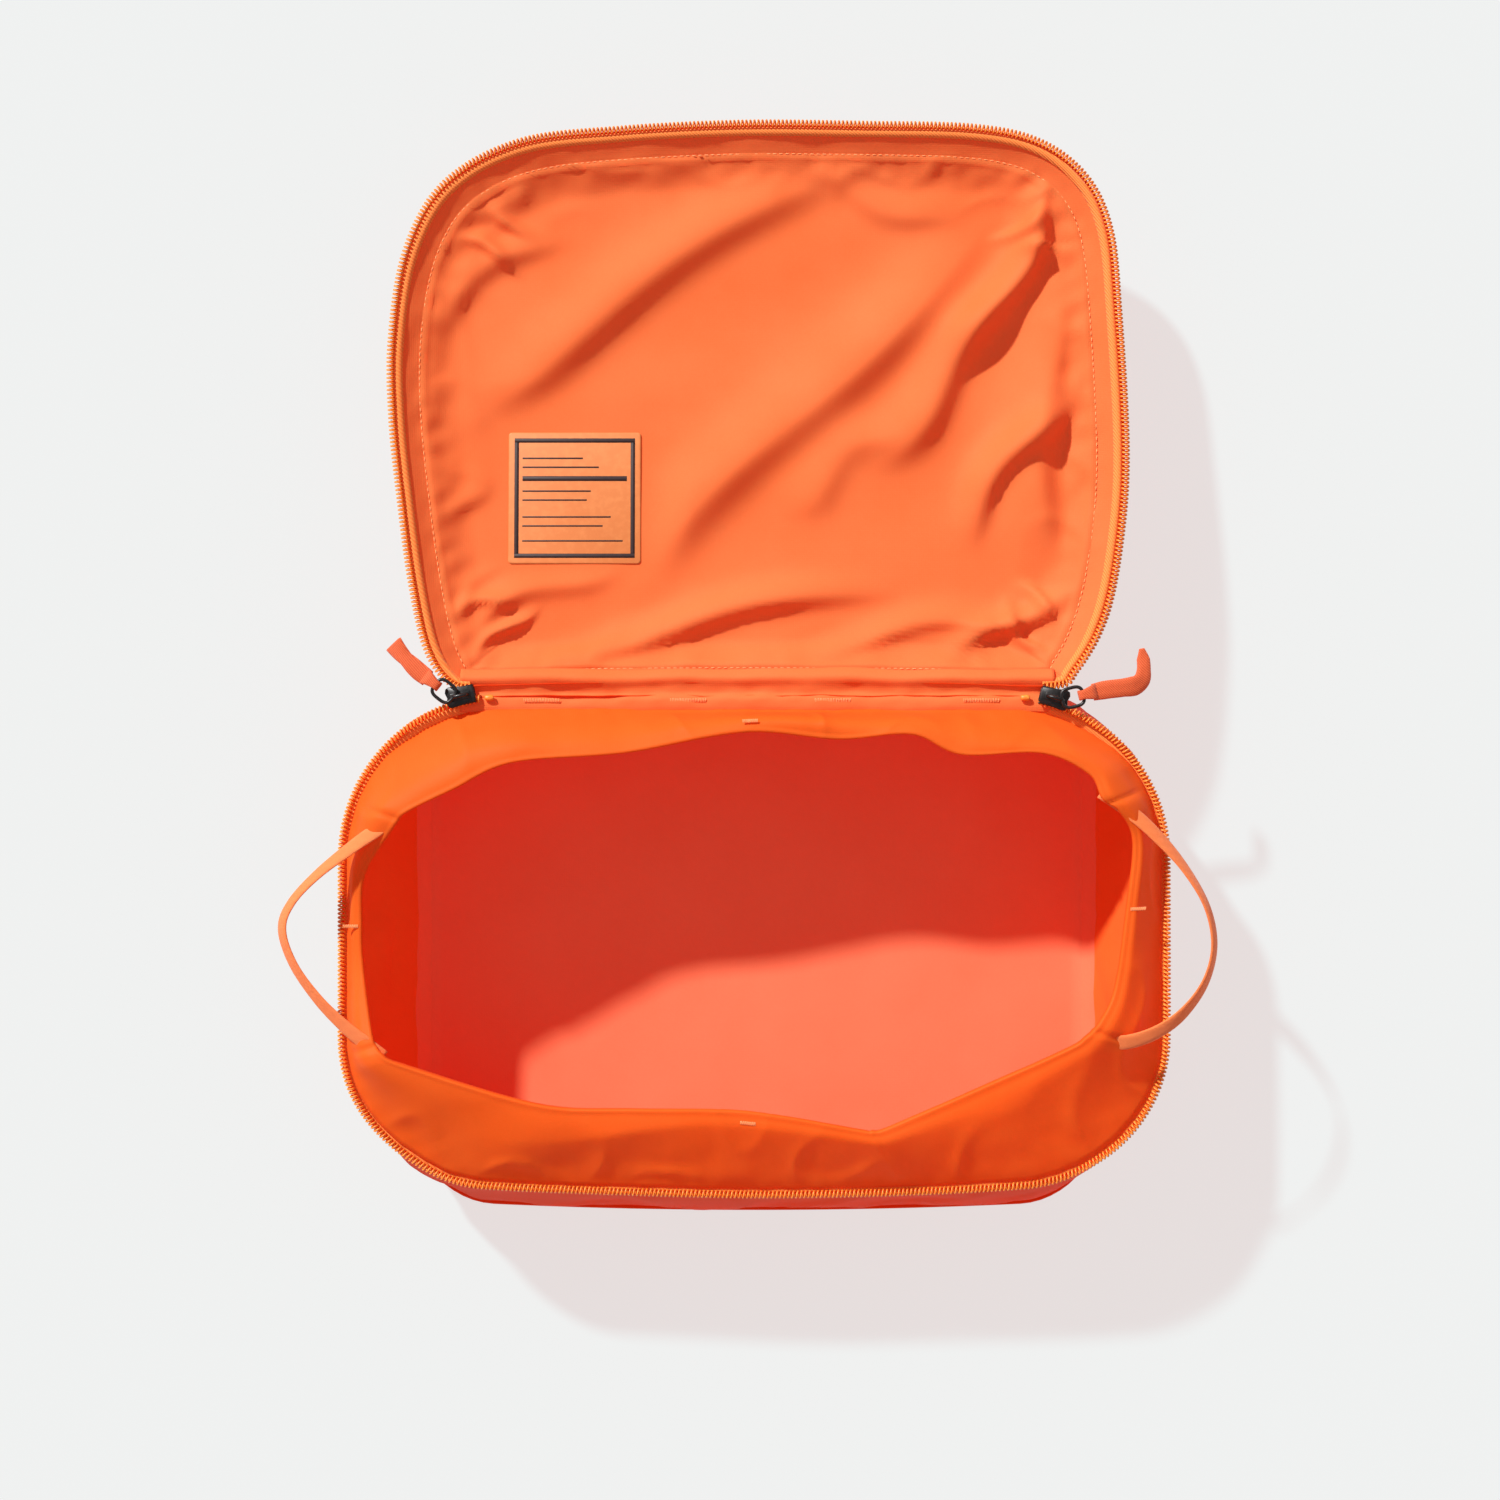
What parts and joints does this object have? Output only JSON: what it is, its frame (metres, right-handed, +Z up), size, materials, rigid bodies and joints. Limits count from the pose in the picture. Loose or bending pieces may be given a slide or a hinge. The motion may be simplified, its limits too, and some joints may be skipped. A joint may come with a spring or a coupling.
{
  "type": "packing cube",
  "caption": "Soft zippered packing cube, open like a clamshell, with a rounded tub, a folding inner collar, a shallow lid and a strap handle at each end.",
  "frame": {"origin": "centre of the tub's flat underside, on the surface it stands on", "axes": "+X to the right along the hinge, +Y from the tub to the lid, +Z up"},
  "size_m": [0.4638, 0.5481, 0.0993],
  "materials": {
    "shell": "plain-weave nylon, matt with a faint sheen",
    "lining": "plain-weave nylon lining",
    "collar": "coated nylon, smooth, slightly translucent",
    "tape": "woven zipper tape",
    "coil": "nylon zipper coil",
    "webbing": "ribbed narrow webbing",
    "slider": "black painted zinc",
    "label": "soft moulded label"
  },
  "bodies": {
    "base": {"bottom_panel": "shell", "front_wall": "shell", "back_wall": "shell", "left_wall": "shell", "right_wall": "shell", "wall_lining": "lining", "floor_lining": "lining", "back_webbing": "webbing", "hinge_strip": "shell", "base_zipper_tape": "tape", "base_zipper_coil": "coil", "collar_front": "collar", "collar_back": "collar", "collar_left": "collar", "collar_right": "collar", "left_end_stop": "slider", "right_end_stop": "slider"},
    "lid": {"lid_panel": "shell", "lid_gusset": "shell", "lid_gusset_lining": "lining", "lid_lining": "lining", "lid_zipper_tape": "tape", "lid_zipper_coil": "coil", "label_patch": "label"},
    "left_handle": {"left_handle_strap": "webbing"},
    "right_handle": {"right_handle_strap": "webbing"},
    "left_slider": {"left_slider": "slider"},
    "right_slider": {"right_slider": "slider"},
    "left_pull_loop": {"left_pull_loop": "slider"},
    "right_pull_loop": {"right_pull_loop": "slider"},
    "left_pull_tab": {"left_pull_tab": "webbing"},
    "right_pull_tab": {"right_pull_tab": "webbing"}
  },
  "joints": [
    {"name": "lid_hinge", "type": "hinge", "parent": "base", "child": "lid", "pos_m": [0, 0.131, 0.081], "axis": [1, 0, 0], "range_deg": [0, 184], "deforming": ["collar_front", "collar_back", "collar_left", "collar_right"]},
    {"name": "left_handle_swing", "type": "hinge", "parent": "base", "child": "left_handle", "pos_m": [-0.162, 0.07, 0.09605], "axis": [0.0995, 0.995, 0], "range_deg": [0, 180]},
    {"name": "right_handle_swing", "type": "hinge", "parent": "base", "child": "right_handle", "pos_m": [0.162, 0.07, 0.09605], "axis": [0.0995, -0.995, 0], "range_deg": [0, 180]},
    {"name": "left_slider_travel", "type": "slide", "parent": "base", "child": "left_slider", "axis": [-0.979, -0.2038, 0], "range_m": [0, 0.01]},
    {"name": "left_loop_turn", "type": "hinge", "parent": "left_slider", "child": "left_pull_loop", "pos_m": [-0.14918, 0.12974, 0.0848], "axis": [0.6157, 0.788, 0], "range_deg": [0, 90]},
    {"name": "left_tab_turn", "type": "hinge", "parent": "left_pull_loop", "child": "left_pull_tab", "pos_m": [-0.15706, 0.13589, 0.0848], "axis": [0.6157, 0.788, 0], "range_deg": [-45, 45]},
    {"name": "right_slider_travel", "type": "slide", "parent": "base", "child": "right_slider", "axis": [0.9661, -0.2582, 0], "range_m": [0, 0.01]},
    {"name": "right_loop_turn", "type": "hinge", "parent": "right_slider", "child": "right_pull_loop", "pos_m": [0.14927, 0.12855, 0.0848], "axis": [0.2419, -0.9703, 0], "range_deg": [0, 90]},
    {"name": "right_tab_turn", "type": "hinge", "parent": "right_pull_loop", "child": "right_pull_tab", "pos_m": [0.15897, 0.13097, 0.0848], "axis": [0.2419, -0.9703, 0], "range_deg": [-45, 45]}
  ],
  "couplings": [
    {"joint": "left_handle_swing", "follows": "lid_hinge", "ratio": 0.9778},
    {"joint": "right_handle_swing", "follows": "lid_hinge", "ratio": 0.9778}
  ]
}
